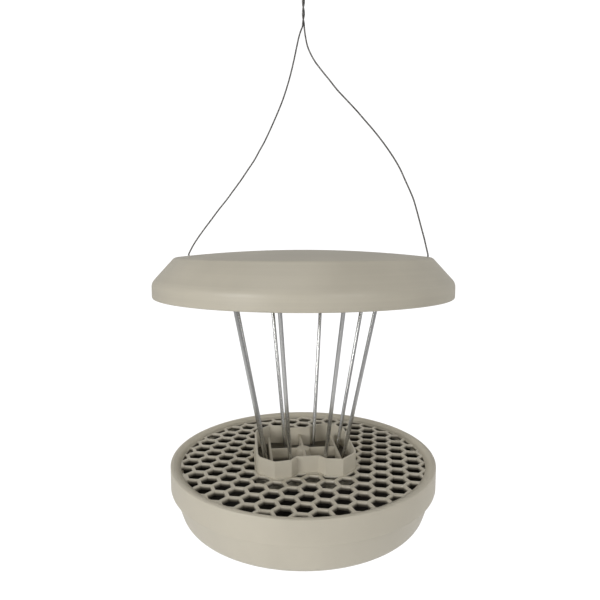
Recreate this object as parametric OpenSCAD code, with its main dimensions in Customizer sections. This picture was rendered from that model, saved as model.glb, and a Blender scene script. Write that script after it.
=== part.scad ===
// Hanging feeder for food balls: a wide roof on a bent wire hanger, a cage of eight sloping rods,
// and a honeycomb tray over a catch bowl. The origin is the middle of the hanging eye, +Z is up,
// and the two ears of the collar face -Y and +Y.

/* [Overall] */
// Diameter over the roof
roof_d = 230; // [190:1:290]
// Diameter over the tray
tray_d = 210; // [175:1:255]
// Height from the tray rim up to the roof's lower edge
cage_h = 129.7; // [105:0.1:160]
// Height from the roof's lower edge up to the hanging eye
hang_h = 233.5; // [220:0.5:280]

/* [Roof] */
// Wall of the roof
roof_wall = 2.2; // [1.6:0.1:3]
// Height of the roof's upright band
roof_band_h = 11.2; // [8:0.1:14]
// Width of the sloping shoulder
roof_slope_w = 16.6; // [13:0.1:20]
// Height of the sloping shoulder
roof_slope_h = 18.2; // [15:0.1:22]
// Rise of the shallow dome
roof_dome_h = 5.5; // [3:0.1:8]
// Rounding of the band's lower edge
roof_edge_r = 1.5; // [1:0.1:4]
// Thickness of the stiffening ribs inside
roof_rib = 1.8; // [1.2:0.1:3]

/* [Hanger wire] */
// Diameter of the wire
wire_d = 1.2; // [0.9:0.05:1.6]
// Diameter of the holes that let the wire through the roof
wire_hole_d = 3; // [2.2:0.1:4]
// Distance of those holes from the roof's outer edge
wire_inset = 20; // [19:0.5:22]
// Direction of the wire hanger, seen from above
wire_turn = -17; // [-20:1:-14]
// Inner diameter of the hanging eye
eye_d = 12; // [10:1:16]

/* [Cage] */
// Diameter of a rod
rod_d = 3; // [2.4:0.1:3.8]
// Radius of the ring of rods at the tray rim
rod_foot_r = 33.2; // [32.6:0.1:34.5]
// Radius of the ring of rods at the roof's lower edge
rod_head_r = 59.2; // [50:0.1:64]
// Thickness of the ring that carries the rod heads
carrier_h = 5; // [4:0.5:7]
// Radial width of that ring
carrier_w = 17; // [15:0.5:19]
// Width of the two arms that take the wire
arm_w = 10; // [8:0.5:14]

/* [Tray] */
// Depth of the skirt
skirt_h = 18.6; // [15:0.1:26]
// Wall of the skirt
skirt_wall = 1.8; // [1.4:0.1:3.2]
// Width of the sloping rim inside the tray edge
rim_w = 8; // [7:0.1:11]
// Depth of the grid below the rim
rim_drop = 2.6; // [2:0.1:5]
// Rounding of the rim's outer edge
rim_r = 2; // [1.5:0.1:4]
// Distance between the middles of two neighbouring cells
comb_pitch = 14.3; // [11:0.1:17.5]
// Thickness of a honeycomb rib
comb_rib = 2.4; // [1.4:0.1:3]
// Height of a honeycomb rib
comb_h = 3; // [2:0.1:4.5]
// Direction of the honeycomb, seen from above
comb_turn = -15; // [-30:1:30]
// Shift of the honeycomb from the middle of the tray, to the side and to the back
comb_shift = [1.4, 1.6]; // [-7:0.1:7]

/* [Collar and rod seat] */
// Wall of the collar
collar_wall = 1.6; // [1.2:0.1:2.2]
// Height of the collar above the grid
collar_h = 12.8; // [11:0.1:16]
// Depth of the collar's floor below the tray rim
collar_depth = 12.8; // [12:0.1:16]
// Height of the cross in the collar above the rod seat's plate
cross_h = 9.5; // [6:0.1:12]
// Thickness of the cross
cross_wall = 1.8; // [1.2:0.1:2.4]

/* [Bowl] */
// Depth of the bowl's base below the tray rim
bowl_depth = 43.2; // [38:0.1:55]
// Wall of the bowl
bowl_wall = 2; // [1.6:0.1:2.6]
// Rounding between the bowl's side and its base
bowl_r = 10.5; // [7:0.5:12]
// How much the bowl narrows towards its base
bowl_taper = 4.8; // [3:0.1:8]

/* [Hidden] */
$fn = 96;
fit = 0.3;             // gap between pieces that slide past each other
seat_gap = 0.2;        // gap round pieces that are pushed into each other
bore_gap = 0.05;       // radial gap of a rod or a screw in its bore
rod_count = 8;
roof_z = -hang_h;      // lower edge of the roof
rim_z = roof_z - cage_h;                  // top of the tray rim
roof_r = roof_d / 2;
shoulder_r = roof_r - roof_slope_w;       // edge of the dome
shoulder_z = roof_band_h + roof_slope_h;  // the same, above the roof's lower edge
wire_r = roof_r - wire_inset;
tray_r = tray_d / 2;
open_r = tray_r - rim_w;                  // edge of the honeycomb
rod_tilt = atan((rod_head_r - rod_foot_r) / cage_h);
rod_step = 360 / rod_count;

carrier_z = roof_z + 13;                  // underside of the carrier
carrier_top = carrier_z + carrier_h;
carrier_r = rod_head_r + (carrier_z - roof_z) * tan(rod_tilt) + 0.5;  // middle of the ring
rod_top = carrier_top + 2.5;
cap_h = 1.2;
cap_d = rod_d + 4.5;

grid_top = rim_z - rim_drop;
grid_z = grid_top - comb_h;
grid_r = open_r + 1.9;                    // the grid's own border lies under the rim
ledge_h = 1.8;
skirt_in = tray_r - skirt_wall;

collar_z = rim_z - collar_depth;
collar_top = grid_top + collar_h;
floor_h = 2;
seat_z = collar_z + floor_h;
seat_h = 4;                               // plate of the rod seat
seat_foot = 1.5;                          // height of the bosses under the plate
seat_top = seat_z + seat_foot + seat_h;
boss_d = rod_d + 6;
rod_foot = seat_z + 0.5;
screw_d = 3;
screw_l = 6.5;
screw_head_d = 5.6;
screw_head_h = 2;
screw_r = 16;                             // distance of a screw from the axis
pillar_d = 7;                             // the screws go up through round bosses
side_wall = 1.6;                          // the two side walls of the cross
side_x = 27.4;                            // their outer faces
side_l = 56;

bowl_top = grid_z - ledge_h - seat_gap;
bowl_out = skirt_in - fit - 0.1;
bowl_base = rim_z - bowl_depth;

crimp_d = 4;
crimp_h = 5;
crimp_z = carrier_z - seat_gap - crimp_h;
tail_top = roof_z + shoulder_z + 1.1;
eye_r = (eye_d + wire_d) / 2;
twist_d = 2 * wire_d;
twist_low = -32;

// Routes of the two wires from the roof up to the twist: distance from the axis, and height
left_route = [
    [95, -203], [95, -202], [90, -193.5], [82.5, -183.5], [75.5, -175], [69, -167], [62, -159], [56, -151.5],
    [50, -144], [44.5, -136.5], [39, -129], [34.5, -121.5], [30, -114], [22.5, -99], [16, -84.5],
    [11, -70], [7.5, -57], [5, -46], [3, -38], [0.6, -32]
];
right_route = [
    [95, -203], [95, -202], [93.5, -196], [92, -190], [90, -183], [88, -176], [86, -169], [83.5, -161],
    [80.5, -154], [77, -146.5], [73.5, -139], [69.5, -132], [64.5, -124.5], [59, -117],
    [53, -109.5], [46.5, -102], [40, -94.5], [33, -87], [26, -79.5], [20, -72], [13.5, -64],
    [8, -56.5], [3.5, -47.5], [1.5, -39], [0.6, -32]
];

// One quarter of the collar's outer outline, from the front notch round to the side
collar_quarter = [[8.3, -32], [12.7, -37.9], [25.7, -40.2], [37.1, -29.2], [38.6, -23.5]];

plastic = [0.76, 0.73, 0.65];
plastic_dark = [0.68, 0.65, 0.57];
steel = [0.72, 0.74, 0.74];
wire_grey = [0.35, 0.33, 0.31];

// ---- outlines and sweeps ----

// Points of an arc about c, from angle a to angle b in n steps
function arc(c, r, a, b, n) = [for (i = [0:n]) c + r * [cos(a + (b - a) * i / n), sin(a + (b - a) * i / n)]];

// A wire's route stretched to the height of the roof and to the place of its holes
function stretched(route) = let (low = route[0])
    [for (p = route) [p[0] * wire_r / low[0],
        twist_low + (p[1] - twist_low) * (tail_top - twist_low) / (low[1] - twist_low)]];

// Left normal of the line from p to q
function left_of(p, q) = let (d = (q - p) / norm(q - p)) [-d[1], d[0]];

// A closed outline with every edge moved out by g
function grown(pts, g) = let (n = len(pts)) [for (i = [0:n - 1])
    let (a = -left_of(pts[(i + n - 1) % n], pts[i]), b = -left_of(pts[i], pts[(i + 1) % n]))
    pts[i] + g * (a + b) / (1 + a * b)];

// The collar's whole outline: the quarter, mirrored to the back and then to the other side
function collar_outline(g) = let (q = collar_quarter, n = len(q))
    grown(concat(q, [for (i = [n - 1:-1:0]) [q[i][0], -q[i][1]]],
        [for (i = [0:n - 1]) -q[i]], [for (i = [n - 1:-1:0]) [-q[i][0], q[i][1]]]), g);

// A round wire swept along [distance, height] points in the upright plane at an angle
module swept_wire(route, turn) {
    sides = 8;
    n = len(route);
    across = [-sin(turn), cos(turn), 0];
    centres = [for (p = route) [p[0] * cos(turn), p[0] * sin(turn), p[1]]];
    rings = [for (i = [0:n - 1])
        let (d = centres[min(i + 1, n - 1)] - centres[max(i - 1, 0)], side = cross(d / norm(d), across))
        for (k = [0:sides - 1])
            centres[i] + wire_d / 2 * (cos(k * 360 / sides) * side + sin(k * 360 / sides) * across)];
    walls = [for (i = [0:n - 2]) for (k = [0:sides - 1]) let (m = (k + 1) % sides)
        [i * sides + k, (i + 1) * sides + k, (i + 1) * sides + m, i * sides + m]];
    ends = [[for (k = [0:sides - 1]) k], [for (k = [sides - 1:-1:0]) (n - 1) * sides + k]];
    polyhedron(rings, concat(walls, ends));
}

// Places its children on the line of rod i, at its crossing of the tray rim's level
module on_rod(i) {
    rotate([0, 0, (i - 0.5) * rod_step]) translate([rod_foot_r, 0, rim_z]) rotate([0, rod_tilt, 0]) children();
}

// A round bar on the line of rod i, from height a to height b
module rod_bar(i, d, a, b) {
    s = cos(rod_tilt);
    on_rod(i) translate([0, 0, (a - rim_z) / s]) cylinder(d = d, h = (b - a) / s);
}

// ---- roof ----

// Outline of half the roof shell's section, moved in by t
function roof_section(t) = let (
    dome_r = (shoulder_r * shoulder_r + roof_dome_h * roof_dome_h) / (2 * roof_dome_h),
    span = asin(shoulder_r / dome_r),
    slant = atan(roof_slope_h / roof_slope_w),
    cut = t * tan((90 - slant) / 2),
    corner = t * tan(slant / 2 - span / 2))
    concat([[roof_r - t, roof_band_h - cut]], [[shoulder_r - corner, shoulder_z - t]],
        [for (i = [5:-1:0]) let (a = span * i / 6)
            [(dome_r - t) * sin(a), shoulder_z + roof_dome_h - dome_r + (dome_r - t) * cos(a)]]);

module roof_shell() {
    outer = concat(arc([roof_r - roof_edge_r, roof_edge_r], roof_edge_r, -75, 0, 5), roof_section(0));
    inner = roof_section(roof_wall);
    lip = roof_r - max(roof_edge_r, roof_wall) - 0.6;    // the band's lower edge is a little thicker
    rim = [[roof_r - roof_wall, roof_wall + 0.8], [lip, roof_wall], [lip, roof_edge_r * (1 - sin(75))]];
    difference() {
        translate([0, 0, roof_z]) color(plastic) union() {
            rotate_extrude() polygon(concat(outer, [for (i = [len(inner) - 1:-1:0]) inner[i]], rim));
            for (i = [0:rod_count - 1]) rotate([0, 0, i * rod_step]) roof_rib();
        }
        for (turn = [wire_turn, wire_turn + 180]) rotate([0, 0, turn])
            translate([wire_r, 0, roof_z + shoulder_z - 10]) cylinder(d = wire_hole_d, h = 20);
    }
}

// Height of the dome's outside above the roof's lower edge, at a distance from the axis
function dome_z(r) = shoulder_z + roof_dome_h * (1 - pow(r / shoulder_r, 2));

// An upright rib under the dome, whose foot rests on the carrier
module roof_rib() {
    foot = carrier_top - roof_z + fit;
    near = carrier_r + carrier_w / 2 - 5;
    far = shoulder_r - 4;
    translate([0, roof_rib / 2, 0]) rotate([90, 0, 0]) linear_extrude(roof_rib)
        polygon([[near, foot], [near + 5, foot], [far, dome_z(far) - roof_wall - 3],
            [far, dome_z(far) - roof_wall / 2], [near, dome_z(near) - roof_wall / 2]]);
}

// ---- cage ----

module rod_carrier() {
    color(plastic_dark) difference() {
        union() {
            translate([0, 0, carrier_z]) difference() {
                cylinder(r = carrier_r + carrier_w / 2, h = carrier_h);
                translate([0, 0, -1]) cylinder(r = carrier_r - carrier_w / 2, h = carrier_h + 2);
            }
            for (turn = [wire_turn, wire_turn + 180]) rotate([0, 0, turn]) {
                translate([carrier_r + carrier_w / 2 - 3, -arm_w / 2, carrier_z])
                    cube([wire_r - carrier_r - carrier_w / 2 + 3, arm_w, carrier_h - 1]);
                translate([wire_r, 0, carrier_z]) cylinder(d = arm_w, h = carrier_h - 1);
            }
        }
        for (i = [1:rod_count]) rod_bar(i, rod_d + 2 * bore_gap, carrier_z - 5, carrier_top + 5);
        for (turn = [wire_turn, wire_turn + 180]) rotate([0, 0, turn])
            translate([wire_r, 0, carrier_z - 1]) cylinder(d = wire_d + 0.6, h = carrier_h + 2);
    }
}

module rod(i) {
    color(steel) rod_bar(i, rod_d, rod_foot, rod_top);
}

// Push-on caps that stop the rods from dropping out of the carrier
module rod_caps() {
    color(steel) for (i = [1:rod_count]) on_rod(i)
        translate([0, 0, (carrier_top - rim_z) / cos(rod_tilt) + cap_d / 2 * tan(rod_tilt)]) difference() {
            cylinder(d = cap_d, h = cap_h);
            translate([0, 0, -1]) cylinder(d = rod_d, h = cap_h + 2);
        }
}

// ---- tray ----

module tray_ring() {
    top = [tray_r - rim_r, -rim_r];
    turned = skirt_wall / 2;       // how far the skirt's lower edge turns in
    slope = rim_drop / (rim_w - rim_r);
    lip_r = grid_r + seat_gap / 2;
    color(plastic) translate([0, 0, rim_z]) rotate_extrude() polygon(concat(
        [[lip_r, -rim_drop + (lip_r - open_r) * slope]],
        arc(top, rim_r, 90 + atan(slope), 0, 7),
        [[tray_r, -skirt_h + 2.5], [tray_r - turned * 0.3, -skirt_h + 1.1], [tray_r - turned, -skirt_h]],
        [[skirt_in, -skirt_h], [skirt_in, grid_z - rim_z - ledge_h]],
        [[open_r - 1.5, grid_z - rim_z - ledge_h], [open_r - 1.5, grid_z - rim_z],
            [lip_r, grid_z - rim_z]]));
}

// The cells whose middles lie inside the tray, as hexagons on a triangular lattice
module comb_cells() {
    column = comb_pitch * sqrt(3) / 2;
    reach = ceil(open_r / column) + 1;
    translate(comb_shift) rotate([0, 0, comb_turn]) for (i = [-reach:reach], j = [-reach:reach])
        let (x = i * column, y = (j + (abs(i) % 2 == 0 ? 0.5 : 0)) * comb_pitch)
        if (norm([x, y]) < open_r + comb_pitch / 3 && norm([x, y]) > 28)
            translate([x, y]) circle(d = (comb_pitch - comb_rib) * 2 / sqrt(3), $fn = 6);
}

module honeycomb_grid() {
    border = seat_gap / 2 + 1;
    color(plastic) translate([0, 0, grid_z]) linear_extrude(comb_h) difference() {
        circle(r = grid_r);
        polygon(collar_outline(seat_gap / 2));
        difference() {
            intersection() {
                circle(r = open_r);
                comb_cells();
            }
            polygon(collar_outline(border));
        }
    }
}

// ---- collar and rod seat ----

module cage_collar() {
    color(plastic) difference() {
        translate([0, 0, collar_z]) linear_extrude(collar_top - collar_z) polygon(collar_outline(0));
        translate([0, 0, seat_z]) linear_extrude(collar_top - seat_z + 1) polygon(collar_outline(-collar_wall));
        at_screws() translate([0, 0, collar_z - 1]) cylinder(d = screw_d + 0.4, h = floor_h + 2);
    }
}

module at_screws() {
    for (a = [45:90:315]) rotate([0, 0, a]) translate([screw_r, 0, 0]) children();
}

// The plate that the rods stand in, on short bosses, and the cross that the food rests on
module rod_seat() {
    notch = -collar_quarter[0][1];             // distance of the notches from the axis
    color(plastic_dark) difference() {
        union() {
            translate([0, 0, seat_top - seat_h]) linear_extrude(seat_h)
                polygon(collar_outline(-collar_wall - seat_gap));
            intersection() {
                for (i = [1:rod_count]) rod_bar(i, boss_d, seat_z - 4, seat_top);
                translate([0, 0, seat_z]) linear_extrude(seat_foot + 1)
                    polygon(collar_outline(-collar_wall - seat_gap));
            }
            at_screws() translate([0, 0, seat_z]) cylinder(d = pillar_d, h = seat_foot + 1);
            cross_bar(2 * side_x - 1, cross_wall);
            cross_bar(cross_wall, 2 * (notch - collar_wall - seat_gap));
            for (side = [-1, 1]) translate([side * (side_x - side_wall / 2), 0, 0]) cross_bar(side_wall, side_l);
            translate([0, 0, seat_top - 1]) cylinder(r1 = 7, r2 = 5, h = cross_h + 1);
        }
        for (i = [1:rod_count]) rod_bar(i, rod_d + 2 * bore_gap, rod_foot - 0.1, seat_top + 3);
        at_screws() translate([0, 0, seat_z - 1]) cylinder(d = screw_d + 2 * bore_gap, h = screw_l - 0.5);
    }
}

// One upright wall of the cross, w across and l from front to back
module cross_bar(w, l) {
    translate([-w / 2, -l / 2, seat_top - 1]) cube([w, l, cross_h + 1]);
}

module seat_screws() {
    color(steel) at_screws() {
        translate([0, 0, collar_z - screw_head_h]) cylinder(d = screw_head_d, h = screw_head_h);
        translate([0, 0, collar_z]) cylinder(d = screw_d, h = screw_l);
    }
}

// ---- bowl ----

module seed_bowl() {
    base_r = bowl_out - bowl_taper - bowl_r;
    side_z = -skirt_h + 0.5;
    foot = [base_r, -bowl_depth + bowl_r];
    inner_r = bowl_r - bowl_wall;
    color(plastic) translate([0, 0, rim_z]) rotate_extrude() polygon(concat(
        [[0, -bowl_depth]], arc(foot, bowl_r, -90, 0, 8),
        [[bowl_out, side_z], [bowl_out, bowl_top - rim_z]],
        [[bowl_out - bowl_wall, bowl_top - rim_z], [bowl_out - bowl_wall, side_z]],
        arc(foot, inner_r, 0, -90, 8), [[0, -bowl_depth + bowl_wall]]));
}

// ---- hanger wire ----

module wire_tail(turn) {
    color(wire_grey) rotate([0, 0, turn]) translate([wire_r, 0, crimp_z + crimp_h / 2])
        cylinder(d = wire_d, h = tail_top - crimp_z - crimp_h / 2);
}

// A sleeve pressed on the end of the wire, under the carrier's arm
module crimp(turn) {
    color(steel) rotate([0, 0, turn]) translate([wire_r, 0, crimp_z]) difference() {
        cylinder(d = crimp_d, h = crimp_h);
        translate([0, 0, crimp_h / 2]) cylinder(d = wire_d, h = crimp_h);
    }
}

module wire_leg(route, turn) {
    color(wire_grey) swept_wire(route, turn);
}

// The two wires twisted together, and the eye that they end in
module wire_eye() {
    color(wire_grey) union() {
        rotate([0, 0, wire_turn]) rotate([90, 0, 0]) rotate_extrude() translate([eye_r, 0]) circle(d = wire_d);
        translate([0, 0, twist_low]) cylinder(d = twist_d, h = -twist_low - eye_r);
    }
}

roof_shell();
rod_carrier();
rod(1);  // rod_1
rod(2);  // rod_2
rod(3);  // rod_3
rod(4);  // rod_4
rod(5);  // rod_5
rod(6);  // rod_6
rod(7);  // rod_7
rod(8);  // rod_8
rod_caps();
tray_ring();
honeycomb_grid();
cage_collar();
rod_seat();
seat_screws();
seed_bowl();
wire_leg(stretched(left_route), wire_turn + 180);  // wire_left_leg
wire_leg(stretched(right_route), wire_turn);  // wire_right_leg
wire_tail(wire_turn + 180);  // wire_left_tail
wire_tail(wire_turn);  // wire_right_tail
crimp(wire_turn + 180);  // crimp_left
crimp(wire_turn);  // crimp_right
wire_eye();
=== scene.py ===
import math

import bmesh
import bpy
import numpy as np
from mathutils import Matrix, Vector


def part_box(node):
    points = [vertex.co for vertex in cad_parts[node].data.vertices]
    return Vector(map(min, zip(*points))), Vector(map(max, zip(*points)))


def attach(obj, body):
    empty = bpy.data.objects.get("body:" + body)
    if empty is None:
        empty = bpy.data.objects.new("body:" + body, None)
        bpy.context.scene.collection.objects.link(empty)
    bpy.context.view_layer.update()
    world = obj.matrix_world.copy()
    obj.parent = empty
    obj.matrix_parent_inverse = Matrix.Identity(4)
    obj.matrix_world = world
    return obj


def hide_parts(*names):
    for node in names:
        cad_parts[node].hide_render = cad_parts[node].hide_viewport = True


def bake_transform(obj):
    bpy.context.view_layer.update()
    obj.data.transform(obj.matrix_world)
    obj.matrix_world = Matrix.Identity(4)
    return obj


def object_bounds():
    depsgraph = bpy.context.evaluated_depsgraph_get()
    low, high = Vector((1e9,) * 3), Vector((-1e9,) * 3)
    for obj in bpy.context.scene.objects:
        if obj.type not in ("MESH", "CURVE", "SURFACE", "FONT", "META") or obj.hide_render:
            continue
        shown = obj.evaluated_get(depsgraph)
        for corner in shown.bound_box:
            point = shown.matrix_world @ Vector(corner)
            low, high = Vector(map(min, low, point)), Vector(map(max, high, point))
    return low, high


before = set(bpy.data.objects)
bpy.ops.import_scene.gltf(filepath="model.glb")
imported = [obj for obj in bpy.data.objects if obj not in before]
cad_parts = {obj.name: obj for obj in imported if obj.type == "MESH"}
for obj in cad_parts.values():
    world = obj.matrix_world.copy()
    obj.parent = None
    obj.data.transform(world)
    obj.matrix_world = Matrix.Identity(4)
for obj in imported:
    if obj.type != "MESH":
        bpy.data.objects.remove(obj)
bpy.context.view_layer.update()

# ---- Camera ----
# It stands a little under half a metre off, level with the roof and looking slightly down at the
# tray, and a few degrees round from the feeder's front.

rim_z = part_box("tray_ring")[1][2]
camera_data = bpy.data.cameras.new("camera")
camera_data.lens = 31.54
camera_data.sensor_width = 36.0
camera_data.clip_start = 0.01
camera = bpy.data.objects.new("camera", camera_data)
camera_turn = math.radians(-6.13)
camera.location = (-0.0466, -0.4103, rim_z + 0.1694)
camera.rotation_euler = (math.radians(90 - 6.11), 0, camera_turn)
bpy.context.scene.collection.objects.link(camera)
bpy.context.scene.camera = camera

# ---- Hanger wire ----
# One length of thin stranded steel cable. Both its ends come up through holes in the roof, the two
# legs bend in to the axis, and there they are twisted together below a round eye.

wire_d = 0.0012
wire_turn = math.radians(-17)
twist_z = -0.032
leg_foot_z = -0.203
tail_foot_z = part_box("crimp_left")[1][2] - 0.0025
wire_reach = 0.095

left_route = [
    (95, -203), (95, -202), (90, -193.5), (82.5, -183.5), (75.5, -175), (69, -167), (62, -159),
    (56, -151.5), (50, -144), (44.5, -136.5), (39, -129), (34.5, -121.5), (30, -114), (22.5, -99),
    (16, -84.5),
    (11, -70), (7.5, -57), (5, -46), (3, -38), (0.6, -32)]
right_route = [
    (95, -203), (95, -202), (93.5, -196), (92, -190), (90, -183), (88, -176), (86, -169),
    (83.5, -161), (80.5, -154), (77, -146.5), (73.5, -139), (69.5, -132), (64.5, -124.5),
    (59, -117),
    (53, -109.5), (46.5, -102), (40, -94.5), (33, -87), (26, -79.5), (20, -72), (13.5, -64),
    (8, -56.5), (3.5, -47.5), (1.5, -39), (0.6, -32)]


def smooth_line(points, step):
    """A Catmull-Rom curve through the points, resampled at even steps along its length."""
    p = np.asarray(points, float)
    p = np.vstack([2 * p[0] - p[1], p, 2 * p[-1] - p[-2]])
    t = np.linspace(0, 1, 24, endpoint=False)[:, None]
    parts = [0.5 * (2 * b + (c - a) * t + (2 * a - 5 * b + 4 * c - d) * t**2
                    + (3 * b - a - 3 * c + d) * t**3)
             for a, b, c, d in zip(p[:-3], p[1:-2], p[2:-1], p[3:])]
    line = np.vstack(parts + [p[-2:-1]])
    run = np.concatenate([[0], np.cumsum(np.linalg.norm(np.diff(line, axis=0), axis=1))])
    even = np.linspace(0, run[-1], max(2, int(round(run[-1] / step)) + 1))
    return np.stack([np.interp(even, run, line[:, k]) for k in range(3)], axis=1)


def new_piece(name, vertices, faces, smooth=True):
    """A mesh object at the origin, made from vertex places and a list or array of faces."""
    mesh = bpy.data.meshes.new(name)
    mesh.from_pydata(np.asarray(vertices).tolist(), [], [list(map(int, f)) for f in faces])
    mesh.polygons.foreach_set("use_smooth", [smooth] * len(mesh.polygons))
    mesh.update()
    piece = bpy.data.objects.new(name, mesh)
    bpy.context.scene.collection.objects.link(piece)
    return piece


def grid_faces(nu, nv, close_u, close_v, start=0):
    """Quads between neighbours of a nu by nv grid of points, closed round in u or v if asked."""
    i = np.arange(nu if close_u else nu - 1)[:, None]
    j = np.arange(nv if close_v else nv - 1)[None, :]
    i2, j2 = (i + 1) % nu, (j + 1) % nv
    return start + np.stack([i * nv + j, i2 * nv + j, i2 * nv + j2, i * nv + j2], -1).reshape(-1, 4)


def cable(line, diameter, strands=6, lay=0.0075, sides=24):
    """Vertices and faces of a stranded cable along a line: every ring is a circle whose radius
    dips between the strands, and the dips turn once round per lay of length."""
    line = np.asarray(line, float)
    n = len(line)
    tangent = np.gradient(line, axis=0)
    tangent /= np.linalg.norm(tangent, axis=1)[:, None]
    side = np.zeros_like(line)
    side[0] = np.cross(tangent[0], (0.3, 0.2, 1) if abs(tangent[0][2]) < 0.9 else (1, 0, 0))
    side[0] /= np.linalg.norm(side[0])
    for i in range(1, n):
        side[i] = side[i - 1] - tangent[i] * (side[i - 1] @ tangent[i])
        side[i] /= np.linalg.norm(side[i])
    up = np.cross(tangent, side)
    run = np.concatenate([[0], np.cumsum(np.linalg.norm(np.diff(line, axis=0), axis=1))])
    a = np.linspace(0, 2 * np.pi, sides, endpoint=False)[None, :]
    turn = 2 * np.pi * run[:, None] / lay
    radius = diameter / 2 * (1 - 0.07 * (1 - np.abs(np.cos(strands / 2 * (a - turn))))**1.5)
    ring = line[:, None, :] + radius[..., None] * (
        np.cos(a)[..., None] * side[:, None, :] + np.sin(a)[..., None] * up[:, None, :])
    faces = grid_faces(n, sides, False, True).tolist()
    faces += [list(range(sides - 1, -1, -1)), list(range((n - 1) * sides, n * sides))]
    faces = [f[::-1] for f in faces]
    return ring.reshape(-1, 3), faces


def in_plane(points, turn):
    """[distance, height] points in millimetres, set in the upright plane at an angle, in metres."""
    p = np.asarray(points, float) / 1000
    return np.stack([p[:, 0] * math.cos(turn), p[:, 0] * math.sin(turn), p[:, 1]], axis=1)


def set_material(piece, material):
    piece.data.materials.clear()
    piece.data.materials.append(material)


def new_material(name):
    """A node material, with its nodes, its links and its main shader."""
    material = bpy.data.materials.new(name)
    material.use_nodes = True
    nodes = material.node_tree.nodes
    return material, nodes, material.node_tree.links, nodes["Principled BSDF"]


def noise(nodes, links, vector, scale, detail):
    texture = nodes.new("ShaderNodeTexNoise")
    texture.inputs["Scale"].default_value = scale
    texture.inputs["Detail"].default_value = detail
    links.new(vector, texture.inputs["Vector"])
    return texture.outputs["Fac"]


def two_tones(nodes, links, value, tones, stops=(0.3, 0.7)):
    """Turns a value into a colour: the first tone up to one stop, the second from the other on."""
    ramp = nodes.new("ShaderNodeValToRGB")
    for element, stop, tone in zip(ramp.color_ramp.elements, stops, tones):
        element.position = stop
        element.color = (*tone, 1)
    links.new(value, ramp.inputs["Fac"])
    return ramp.outputs["Color"]


def wire_steel():
    """Dark weathered steel: bare metal with duller, browner film in soft patches."""
    material, nodes, links, shader = new_material("wire_steel")
    place = nodes.new("ShaderNodeTexCoord")
    film = noise(nodes, links, place.outputs["Object"], 380, 4)
    tones = (0.10, 0.095, 0.088), (0.22, 0.215, 0.205)
    links.new(two_tones(nodes, links, film, tones, (0.35, 0.7)), shader.inputs["Base Color"])
    shader.inputs["Metallic"].default_value = 0.75
    shader.inputs["Roughness"].default_value = 0.42
    return material


steel_of_wire = wire_steel()
legs = {}
tail_rings = 34
for side, route, turn in (("left", left_route, wire_turn + math.pi),
                          ("right", right_route, wire_turn)):
    points = in_plane(route, turn)
    foot = points[0]
    line = smooth_line(points, 0.0006)
    leg = new_piece("wire_leg_" + side, *cable(line, wire_d))
    set_material(leg, steel_of_wire)
    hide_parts(f"wire_{side}_leg")
    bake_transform(leg)
    legs[side] = (leg, line)

    tail_line = np.repeat(foot[None, :], tail_rings, axis=0)
    tail_line[:, 2] = np.linspace(tail_foot_z, leg_foot_z + 0.0008, tail_rings)
    tail = new_piece("wire_tail_" + side, *cable(tail_line, wire_d))
    set_material(tail, steel_of_wire)
    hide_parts(f"wire_{side}_tail")
    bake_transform(tail)
    legs[side] += (tail,)

# A sleeve is pressed on each end of the wire, under the carrier's arm: a round metal tube, narrower
# in the middle where it was pressed, with wider ends.


def rounded(corners, radii, steps=8):
    """A profile of [r, z] corners with each inner corner replaced by an arc of its radius."""
    p = [np.array(q, float) for q in corners]
    out = [p[0]]
    for a, b, c, r in zip(p[:-2], p[1:-1], p[2:], radii):
        u, v = (a - b) / np.linalg.norm(a - b), (c - b) / np.linalg.norm(c - b)
        half = math.acos(np.clip(u @ v, -1, 1)) / 2
        cut = min(r / math.tan(half), 0.49 * np.linalg.norm(a - b), 0.49 * np.linalg.norm(c - b))
        t = np.linspace(0, 1, steps + 1)[:, None]
        start, end = b + u * cut, b + v * cut
        out.extend((1 - t)**2 * start + 2 * t * (1 - t) * b + t**2 * end)
    out.append(p[-1])
    return np.array(out)


def turned(name, profile, segments=256):
    """A closed [r, z] profile turned round the axis. Points on the axis become one vertex each."""
    p = np.asarray(profile, float)
    on_axis = p[:, 0] < 1e-7
    a = np.linspace(0, 2 * np.pi, segments, endpoint=False)
    index = np.zeros((len(p), segments), int)
    vertices = []
    for k, (r, z) in enumerate(p):
        if on_axis[k]:
            index[k] = len(vertices)
            vertices.append((0, 0, z))
        else:
            index[k] = len(vertices) + np.arange(segments)
            vertices.extend(zip(r * np.cos(a), r * np.sin(a), np.full(segments, z)))
    faces = []
    for k in range(len(p)):
        m = (k + 1) % len(p)
        if on_axis[k] and on_axis[m]:
            continue
        i, j = index[k], index[m]
        i2, j2 = np.roll(i, -1), np.roll(j, -1)
        if on_axis[k]:
            faces.extend(np.stack([i, j2, j], 1).tolist())
        elif on_axis[m]:
            faces.extend(np.stack([i, i2, j], 1).tolist())
        else:
            faces.extend(np.stack([i, i2, j2, j], 1).tolist())
    return new_piece(name, vertices, faces)


def placed(piece, foot, lean=0.0, turn=0.0):
    """Leans a piece about Y, turns it about Z, and then moves it to its foot, all in its mesh."""
    p = np.array([v.co[:] for v in piece.data.vertices])
    c, s = math.cos(lean), math.sin(lean)
    p = p @ np.array([[c, 0, -s], [0, 1, 0], [s, 0, c]])
    c, s = math.cos(turn), math.sin(turn)
    p = p @ np.array([[c, s, 0], [-s, c, 0], [0, 0, 1]]) + np.asarray(foot, float)
    piece.data.vertices.foreach_set("co", p.ravel())
    piece.data.update()
    return piece


def spread(nodes, links, value, low, high, source=(0.0, 1.0)):
    """A node that maps a value from its source range to low and high."""
    node = nodes.new("ShaderNodeMapRange")
    for key, number in zip(("From Min", "From Max", "To Min", "To Max"), (*source, low, high)):
        node.inputs[key].default_value = number
    links.new(value, node.inputs["Value"])
    return node


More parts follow.
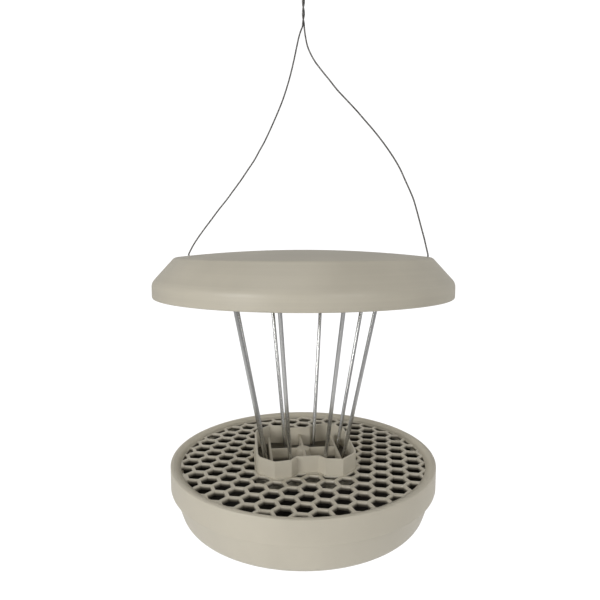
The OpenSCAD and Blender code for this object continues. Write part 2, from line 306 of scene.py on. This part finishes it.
def bright_steel(name, colour=(0.60, 0.60, 0.585), dull=0.0):
    """Drawn steel: a mirror-like metal with fine scratches along its length."""
    material, nodes, links, shader = new_material(name)
    place = nodes.new("ShaderNodeTexCoord")
    stretch = nodes.new("ShaderNodeMapping")
    stretch.inputs["Scale"].default_value = (1, 1, 0.02)
    links.new(place.outputs["Object"], stretch.inputs["Vector"])
    lines = noise(nodes, links, stretch.outputs["Vector"], 3500, 3)
    gloss = spread(nodes, links, lines, 0.2 + dull, 0.3 + dull)
    links.new(gloss.outputs["Result"], shader.inputs["Roughness"])
    tones = [v * 0.93 for v in colour], colour
    links.new(two_tones(nodes, links, lines, tones), shader.inputs["Base Color"])
    shader.inputs["Metallic"].default_value = 1.0
    return material


sleeve_steel = bright_steel("sleeve_steel", (0.60, 0.61, 0.61), 0.15)
bore_r, mouth_r, pressed_r, end_r = wire_d * 0.45, 0.0012, 0.00155, 0.00195
for side, turn in (("left", wire_turn + math.pi), ("right", wire_turn)):
    low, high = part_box("crimp_" + side)
    tall = high[2] - low[2]
    sleeve = turned("crimp_sleeve_" + side, rounded(
        [(bore_r, 0.0004), (mouth_r, 0.0), (end_r, 0.0), (0.0018, tall * 0.25),
         (pressed_r, tall * 0.4), (pressed_r, tall * 0.6), (0.0018, tall * 0.75),
         (end_r, tall), (mouth_r, tall), (bore_r, tall - 0.0004)],
        [0.0002, 0.0003, 0.001, 0.0006, 0.0006, 0.001, 0.0003, 0.0002], 4), 48)
    placed(sleeve, ((low[0] + high[0]) / 2, (low[1] + high[1]) / 2, low[2]))
    set_material(sleeve, sleeve_steel)
    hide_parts("crimp_" + side)
    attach(sleeve, "frame")

# The eye: each leg runs on into a helix round the other, and the two helices join in a round loop.
eye_r = 0.0066
neck_z = -0.0105
turns = 1.25
loop_from, loop_to = -62, 242


def eye_line():
    """One helix up, the loop, and the other helix down. The helix radius is half a wire, and the
    loop is a circle whose two ends ease into the neck."""
    t = np.linspace(0, 1, 60)
    z = twist_z + (neck_z - twist_z) * t
    a = math.pi + 2 * math.pi * turns * t
    up = np.stack([wire_d / 2 * np.cos(a), wire_d / 2 * np.sin(a), z], 1)
    down = np.stack([-up[:, 0], -up[:, 1], z], 1)[::-1]
    end_a = a[-1]
    out = np.array([math.cos(end_a), math.sin(end_a)])
    b = np.radians(np.linspace(loop_from, loop_to, 90))
    loop = np.stack([out[0] * eye_r * np.cos(b), out[1] * eye_r * np.cos(b), eye_r * np.sin(b)], 1)
    line = np.vstack([up, loop, down])
    return smooth_line(line[::2], 0.0006)


eye = new_piece("hanging_eye_wire", *cable(eye_line(), wire_d))
placed(eye, (0, 0, 0), turn=wire_turn)
set_material(eye, steel_of_wire)
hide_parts("wire_eye")
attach(eye, "frame")

for side in ("left", "right"):
    leg, line, tail = legs[side]

# ---- Roof ----
# One moulding of satin plastic: an upright band with a rounded lower edge, a sloping shoulder and a
# shallow dome, with eight ribs inside that rest on the carrier.

roof_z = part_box("roof_shell")[0][2]
roof_r, roof_lip_r, band_h = 0.115, 0.1122, 0.0112


def dome(radius, rise, r, z):
    """Points of a shallow spherical cap from its edge to the axis."""
    big = (radius**2 + rise**2) / (2 * rise)
    return [(q, z + rise - big + math.sqrt(big**2 - q**2)) for q in r]


def moulded_plastic(name, colour, grain=0.0004, shade=0.04, gloss_low=0.36):
    """Satin moulded plastic: an even colour with faint cloudy shading, a fine spark-eroded grain,
    and a gloss that varies a little from place to place."""
    material, nodes, links, shader = new_material(name)
    place = nodes.new("ShaderNodeTexCoord")
    cloud = noise(nodes, links, place.outputs["Object"], 28, 5)
    tones = [v * (1 - shade) for v in colour], [v * (1 + shade) for v in colour]
    links.new(two_tones(nodes, links, cloud, tones), shader.inputs["Base Color"])
    gloss = spread(nodes, links, cloud, gloss_low, gloss_low + 0.12)
    links.new(gloss.outputs["Result"], shader.inputs["Roughness"])
    bump = nodes.new("ShaderNodeBump")
    bump.inputs["Strength"].default_value = 0.12
    bump.inputs["Distance"].default_value = 0.0001
    links.new(noise(nodes, links, place.outputs["Object"], 1 / grain, 2), bump.inputs["Height"])
    links.new(bump.outputs["Normal"], shader.inputs["Normal"])
    shader.inputs["IOR"].default_value = 1.49
    return material


def mix_colour_over(nodes, links, amount, film):
    """Mixes a colour over the main shader's own colour by an amount: mould bands on the roof, and
    painted shade in the honeycomb and the rod seat.
    """
    colour = nodes["Principled BSDF"].inputs["Base Color"]
    plain = colour.links[0].from_socket
    mix = nodes.new("ShaderNodeMix")
    mix.data_type = "RGBA"
    mix.inputs["B"].default_value = (*film, 1)
    links.new(amount, mix.inputs["Factor"])
    links.new(plain, mix.inputs["A"])
    links.new(mix.outputs["Result"], colour)


def ring_marks(material, strength):
    """Adds faint level bands to a plastic, as a turned mould leaves them: a noise stretched flat
    along X and Y darkens the colour by up to the strength."""
    nodes, links = material.node_tree.nodes, material.node_tree.links
    place = nodes.new("ShaderNodeTexCoord")
    flat = nodes.new("ShaderNodeMapping")
    flat.inputs["Scale"].default_value = (0.01, 0.01, 1)
    links.new(place.outputs["Object"], flat.inputs["Vector"])
    bands = noise(nodes, links, flat.outputs["Vector"], 420, 3)
    amount = spread(nodes, links, bands, 0.0, strength, (0.35, 0.65))
    mix_colour_over(nodes, links, amount.outputs["Result"], (0.1, 0.09, 0.07))


roof_plastic = moulded_plastic("roof_plastic", (0.54, 0.499, 0.403))
ring_marks(roof_plastic, 0.05)
roof_wall = 0.0022
dome_r, dome_z, dome_rise = 0.0984, 0.0294, 0.0055
outer = rounded([(roof_lip_r, 0.0), (roof_r, 0.0), (roof_r, band_h), (dome_r, dome_z),
                 (dome_r * 0.9, dome_z + 0.00105)], [0.0015, 0.0075, 0.005])
cap = dome(dome_r, dome_rise, np.linspace(dome_r * 0.88, 0, 22), dome_z)
inner_cap = dome(dome_r, dome_rise, np.linspace(0, dome_r * 0.88, 22), dome_z - roof_wall)
inner = rounded([(dome_r * 0.9, inner_cap[-1][1] - 0.0001), (dome_r - 0.0008, dome_z - roof_wall),
                 (roof_r - roof_wall, 0.0103), (roof_r - roof_wall, 0.003), (roof_lip_r, 0.0022),
                 (roof_lip_r, 0.0)], [0.002, 0.002, 0.0008, 0.0003], 4)[:-1]
profile = np.vstack([outer[:-1], cap, inner_cap[:-1], inner])
profile[:, 1] += roof_z
roof = turned("roof_moulding", profile)
set_material(roof, roof_plastic)
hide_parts("roof_shell")
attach(roof, "roof")

# The two holes for the wire are cut right through the shoulder.
hole_r, drill_half = 0.0015, 0.02
drills = []
for turn in (wire_turn, wire_turn + math.pi):
    drill = turned("wire_hole", [(0, -drill_half), (hole_r, -drill_half), (hole_r, drill_half),
                                 (0, drill_half)], 32)
    drills.append(placed(drill, (wire_reach * math.cos(turn), wire_reach * math.sin(turn),
                                 roof_z + dome_z)))
for drill in drills:
    cut = roof.modifiers.new("wire_hole", "BOOLEAN")
    cut.object = drill
    cut.operation = "DIFFERENCE"
    cut.solver = "EXACT"
bpy.context.view_layer.update()
bored = bpy.data.meshes.new_from_object(roof.evaluated_get(bpy.context.evaluated_depsgraph_get()))
roof.modifiers.clear()
roof.data = bored
for drill in drills:
    bpy.data.objects.remove(drill)

# Eight ribs stand on the carrier and carry the roof.
rib_thick = 0.0018
carrier_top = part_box("rod_carrier")[1][2]
rib_near, rib_far = 0.0658, 0.0944


def roof_rib(turn):
    """A flat plate, upright and along a radius: its outline of [r, z] corners is drawn twice, half
    a thickness to each side."""
    def under_dome(q):
        return roof_z + dome(dome_r, dome_rise, [q], dome_z)[0][1] - roof_wall
    foot = carrier_top + 0.0003
    outline = np.array([(rib_near, foot), (rib_near + 0.005, foot),
                        (rib_far, under_dome(rib_far) - 0.003),
                        (rib_far, under_dome(rib_far) + 0.001),
                        (rib_near, under_dome(rib_near) + 0.001)])
    points = np.vstack([np.insert(outline, 1, y, axis=1) for y in (-rib_thick / 2, rib_thick / 2)])
    c, s = math.cos(turn), math.sin(turn)
    n = len(outline)
    faces = [list(range(n)), list(range(2 * n - 1, n - 1, -1))]
    faces += [[(k + 1) % n, k, n + k, n + (k + 1) % n] for k in range(n)]
    return points @ np.array([[c, s, 0], [-s, c, 0], [0, 0, 1]]), faces


def joined(name, parts):
    """One piece made of several pairs of points and faces."""
    points, faces = [], []
    for more_points, more_faces in parts:
        faces += [[len(points) + q for q in f] for f in more_faces]
        points += more_points.tolist()
    return new_piece(name, points, faces)


ribs = joined("roof_ribs", [roof_rib(math.radians(45 * k)) for k in range(8)])
soften = ribs.modifiers.new("soft_edges", "BEVEL")
soften.width = 0.0003
soften.segments = 2
soften.harden_normals = True
set_material(ribs, roof_plastic)
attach(ribs, "roof")

# ---- Rod carrier ----
# A ring of the same plastic with eight slanting holes for the rods, and two arms that hang from the
# wire. It sits inside the roof and is hidden until the roof is lifted.


def softened(name, node_name, width, material, segments=2):
    """A copy of a CAD piece with its loose corners merged and its sharp edges rounded."""
    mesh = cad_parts[node_name].data.copy()
    mesh.name = name
    work = bmesh.new()
    work.from_mesh(mesh)
    bmesh.ops.remove_doubles(work, verts=work.verts, dist=2e-6)
    work.to_mesh(mesh)
    work.free()
    mesh.polygons.foreach_set("use_smooth", [True] * len(mesh.polygons))
    piece = bpy.data.objects.new(name, mesh)
    bpy.context.scene.collection.objects.link(piece)
    edges = piece.modifiers.new("soft_edges", "BEVEL")
    edges.width = width
    edges.segments = segments
    edges.limit_method = "ANGLE"
    edges.angle_limit = math.radians(28)
    edges.harden_normals = True
    set_material(piece, material)
    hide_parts(node_name)
    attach(piece, "frame")
    return piece


inner_plastic = moulded_plastic("inner_plastic", (0.50, 0.455, 0.36), 0.0005)
softened("carrier_ring", "rod_carrier", 0.0005, inner_plastic)

# ---- Rods ----
# Eight bright steel rods, all on one cone: close together in the tray and wider apart at the roof.

rod_r = 0.0015
foot_r, foot_z = 0.0332, rim_z
rod_head_r, cage_h = 0.0592, 0.1297
rod_tilt = math.atan((rod_head_r - foot_r) / cage_h)
rod_low, rod_high = -0.3735, -0.213
below, above = (rod_low - foot_z) / math.cos(rod_tilt), (rod_high - foot_z) / math.cos(rod_tilt)


def on_cone(piece, i):
    """Stands a piece on the axis of rod i, one of eight that lean outwards on the cone."""
    turn = math.radians(45 * (i - 0.5))
    return placed(piece, (foot_r * math.cos(turn), foot_r * math.sin(turn), foot_z), rod_tilt, turn)


rod_steel = bright_steel("rod_steel")
for i in range(1, 9):
    bar = turned(f"cage_rod_{i}", rounded(
        [(0, below), (rod_r, below), (rod_r, above), (0, above)], [0.0004, 0.0004], 5), 40)
    on_cone(bar, i)
    set_material(bar, rod_steel)
    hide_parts(f"rod_{i}")
    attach(bar, "frame")

# ---- Rod caps ----
# A push-on cap of spring steel, with a sloping shoulder, holds each rod's head above the carrier.

cap_r, cap_h = 0.00375, 0.0012
cap_low = (carrier_top - foot_z) / math.cos(rod_tilt) + cap_r * math.tan(rod_tilt)


def unpacked(piece):
    """The points and faces of a piece, which is then removed."""
    points = np.array([v.co[:] for v in piece.data.vertices])
    faces = [list(f.vertices) for f in piece.data.polygons]
    bpy.data.objects.remove(piece)
    return points, faces


cap_profile = rounded(
    [(rod_r, 0.0001), (0.0024, 0.0), (cap_r, 0.0), (cap_r, 0.0005), (0.0026, cap_h),
     (rod_r, cap_h)],
    [0.0002, 0.0002, 0.0003, 0.0003], 4) + np.array([0, cap_low])
caps = joined("rod_cap_set", [unpacked(on_cone(turned("cap", cap_profile, 32), i))
                              for i in range(1, 9)])
set_material(caps, rod_steel)
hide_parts("rod_caps")
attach(caps, "frame")

# ---- Tray ring ----
# The rim slopes up from the honeycomb to a rounded edge, and the skirt goes straight down from it
# to a crisp lower edge. A ledge inside carries the honeycomb.

tray_r, open_r, skirt_in_r = 0.105, 0.097, 0.1032
ledge_r, ledge_z, ledge_thick = open_r - 0.0015, -0.0074, 0.0018
grid_r = open_r + 0.0019
tray_plastic = moulded_plastic("tray_plastic", (0.58, 0.536, 0.435))
skirt_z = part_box("tray_ring")[0][2] - rim_z
ring_profile = rounded(
    [(open_r + 0.0001, -0.00257), (0.1026, 0.0), (tray_r, 0.0), (tray_r, skirt_z + 0.0012),
     (tray_r - 0.0002, skirt_z + 0.0005), (tray_r - 0.0005, skirt_z), (skirt_in_r, skirt_z),
     (skirt_in_r, ledge_z), (ledge_r, ledge_z), (ledge_r, ledge_z + ledge_thick),
     (grid_r, ledge_z + ledge_thick), (grid_r + 0.0001, -0.00257)],
    [0.0012, 0.002, 0.0004, 0.0003, 0.0002, 0.0003, 0.001, 0.0003, 0.0001, 0.0001], 7)
ring_profile[:, 1] += rim_z
ring = turned("tray_rim", ring_profile[::-1], 320)
set_material(ring, tray_plastic)
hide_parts("tray_ring")
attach(ring, "frame")

# ---- Honeycomb grid ----
# A moulded plate of hexagonal cells that lets crumbs and rain fall into the bowl.


def with_painted_shade(material, name, top, bottom, depth):
    """A copy of a plastic with painted shade: it fades to a dark brown between two heights, the
    dark colour's share going smoothly from none at the top to the depth at the bottom."""
    dark = material.copy()
    dark.name = name
    nodes, links = dark.node_tree.nodes, dark.node_tree.links
    place = nodes.new("ShaderNodeTexCoord")
    height = nodes.new("ShaderNodeSeparateXYZ")
    links.new(place.outputs["Object"], height.inputs["Vector"])
    fall = spread(nodes, links, height.outputs["Z"], depth, 0.0, (bottom, top))
    fall.interpolation_type = "SMOOTHSTEP"
    # The dark brown mixed in here is painted shade, darker towards the bottom of cells and pockets.
    mix_colour_over(nodes, links, fall.outputs["Result"], (0.030, 0.024, 0.015))
    return dark


grid_low, grid_top = (corner[2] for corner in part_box("honeycomb_grid"))
# Painted shade: the cell walls darken towards their bottom, where the shade inside the cells falls.
comb_shaded_plastic = with_painted_shade(tray_plastic, "comb_shaded_plastic", grid_top - 0.0002, grid_low + 0.0006, 0.85)
softened("honeycomb", "honeycomb_grid", 0.0003, comb_shaded_plastic)

# ---- Collar ----
# An upright wall round the feet of the rods, with a notch at the front and at the back.

softened("collar", "cage_collar", 0.0005, tray_plastic, 3)

# ---- Rod seat ----
# A plate pushed into the collar: the rods stand in it, and a low cross carries the lowest food
# ball.

plate_top = rim_z - 0.0053
# Painted shade: the plate darkens towards its floor, in the pockets between the cross and the
# collar.
seat_shaded_plastic = with_painted_shade(inner_plastic, "seat_shaded_plastic", plate_top + 0.0035, plate_top + 0.0002, 0.88)
softened("rod_foot_plate", "rod_seat", 0.0004, seat_shaded_plastic)

# ---- Seat screws ----
# Four pan-head screws with a hexagonal socket come up through the collar's floor.

screw_low, screw_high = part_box("seat_screws")
screw_reach = 0.016
screw_head_r, screw_head_h, shank_r = 0.0028, 0.002, 0.0015
socket_r, socket_deep = 0.00145, 0.0011


def seat_screw(turn):
    """A turned screw whose socket is drawn in to six flats, standing at an angle round the axis."""
    tall = screw_high[2] - screw_low[2]
    p, faces = unpacked(turned("screw", rounded(
        [(0, socket_deep), (0.0014, socket_deep), (socket_r, 0.0), (screw_head_r, 0.0),
         (screw_head_r, screw_head_h), (shank_r, screw_head_h), (shank_r, tall - 0.0006),
         (0.0009, tall), (0, tall)],
        [0.0001, 0.0002, 0.0009, 0.0001, 0.0001, 0.0003, 0.0001], 4), 36))
    reach = np.hypot(p[:, 0], p[:, 1])
    inside = (p[:, 2] < socket_deep + 0.0001) & (reach < socket_r + 0.00003) & (reach > 0)
    angle = np.arctan2(p[:, 1], p[:, 0])
    hexagon = math.cos(math.pi / 6) / np.cos((angle + math.pi / 6) % (math.pi / 3) - math.pi / 6)
    p[inside, :2] *= hexagon[inside, None]
    p += (screw_reach * math.cos(turn), screw_reach * math.sin(turn), screw_low[2])
    return p, faces


screws = joined("seat_screw_set", [seat_screw(math.radians(45 + 90 * k)) for k in range(4)])
set_material(screws, rod_steel)
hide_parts("seat_screws")
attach(screws, "frame")

# ---- Bowl ----
# A plain round bowl pushed up into the skirt. It catches seed, and is pulled off downwards to
# empty.

base, top = (corner[2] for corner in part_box("seed_bowl"))
bowl_out, bowl_wall, bowl_base_r = 0.1028, 0.002, 0.0948
bowl_in = bowl_out - bowl_wall
side_z = rim_z - 0.0181
bowl = turned("catch_bowl", rounded(
    [(0, base), (bowl_base_r, base), (bowl_out, side_z), (bowl_out, top), (bowl_in, top),
     (bowl_in, side_z), (bowl_base_r - bowl_wall, base + bowl_wall), (0, base + bowl_wall)],
    [0.0105, 0.004, 0.0005, 0.0005, 0.004, 0.0085], 12), 320)
set_material(bowl, tray_plastic)

# Its inside is painted near-black as shade: every face that looks at the axis, and the floor.
bowl.data.materials.append(moulded_plastic("bowl_inside_painted_shade", (0.024, 0.020, 0.013), gloss_low=0.6))
middle = np.array([p.center[:] for p in bowl.data.polygons])
facing = np.array([p.normal[:] for p in bowl.data.polygons])
inward = (facing * middle)[:, :2].sum(1) < 0
floor_up = (facing[:, 2] > 0.5) & (middle[:, 2] < base + 0.01)
bowl.data.polygons.foreach_set("material_index", (inward | floor_up).astype(int))
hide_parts("seed_bowl")
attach(bowl, "bowl")

# ---- Floor and light ----
# A plain pale floor well below the feeder, a white surround, a soft key light low at the left, a
# weaker one at the right, a faint one above, and two behind that leave no glint on the plastic.


def pale_floor():
    """A pale floor: plain white where it is looked at, and softly lit for everything around it."""
    material, nodes, links, shader = new_material("pale_floor")
    shader.inputs["Base Color"].default_value = (0.9, 0.9, 0.9, 1)
    shader.inputs["Roughness"].default_value = 0.9
    shader.inputs["Emission Color"].default_value = (1, 1, 1, 1)
    shader.inputs["Emission Strength"].default_value = 0.05
    white = nodes.new("ShaderNodeEmission")
    white.inputs["Strength"].default_value = 1.1
    rays = nodes.new("ShaderNodeLightPath")
    either = nodes.new("ShaderNodeMixShader")
    links.new(rays.outputs["Is Camera Ray"], either.inputs["Fac"])
    links.new(shader.outputs["BSDF"], either.inputs[1])
    links.new(white.outputs["Emission"], either.inputs[2])
    links.new(either.outputs["Shader"], nodes["Material Output"].inputs["Surface"])
    return material


floor_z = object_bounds()[0][2] - 0.5
floor_half = 30
floor = new_piece("floor", [(x * floor_half, y * floor_half, floor_z)
                            for x, y in ((-1, -1), (1, -1), (1, 1), (-1, 1))],
                  [(0, 1, 2, 3)], smooth=False)
set_material(floor, pale_floor())

world = bpy.data.worlds.new("studio")
bpy.context.scene.world = world
world.use_nodes = True
world_nodes, world_links = world.node_tree.nodes, world.node_tree.links
surround = world_nodes["Background"]
surround.inputs["Strength"].default_value = 1.0
around = world_nodes.new("ShaderNodeTexCoord")
upright = world_nodes.new("ShaderNodeSeparateXYZ")
world_links.new(around.outputs["Generated"], upright.inputs["Vector"])
sky_tones = (0.44, 0.44, 0.44), (0.28, 0.28, 0.29)
world_links.new(two_tones(world_nodes, world_links, upright.outputs["Z"], sky_tones, (0.0, 0.9)),
                surround.inputs["Color"])
seen = world_nodes.new("ShaderNodeBackground")
seen.inputs["Color"].default_value = (1, 1, 1, 1)
seen.inputs["Strength"].default_value = 1.1
path = world_nodes.new("ShaderNodeLightPath")
choice = world_nodes.new("ShaderNodeMixShader")
world_links.new(path.outputs["Is Camera Ray"], choice.inputs["Fac"])
world_links.new(surround.outputs["Background"], choice.inputs[1])
world_links.new(seen.outputs["Background"], choice.inputs[2])
world_links.new(choice.outputs["Shader"], world_nodes["World Output"].inputs["Surface"])


def soft_light(name, place, aim, size, power):
    """A square area light at a place, facing a point."""
    data = bpy.data.lights.new(name, "AREA")
    data.size = size
    data.energy = power
    light = bpy.data.objects.new(name, data)
    light.location = place
    direction = np.array(aim, float) - np.array(place, float)
    light.rotation_euler = (math.atan2(math.hypot(direction[0], direction[1]), -direction[2]), 0,
                            math.atan2(direction[1], direction[0]) - math.pi / 2)
    bpy.context.scene.collection.objects.link(light)
    return light


soft_light("key_light", (-1.2, -1.05, 0.05), (0, 0, -0.32), 0.5, 10)
soft_light("fill_light", (0.6, -1.45, 0.2), (0, 0, -0.33), 0.7, 4)
soft_light("top_light", (-0.3, -0.3, 1.2), (0, 0, -0.2), 0.8, 2)
for side_light in (soft_light("right_light", (1.3, 0.35, 0.1), (0, 0, -0.3), 0.8, 5),
                   soft_light("back_light", (-0.5, 1.5, 0.3), (0, 0, -0.3), 0.9, 7)):
    side_light.visible_glossy = False

bpy.context.scene.view_settings.view_transform = "Standard"
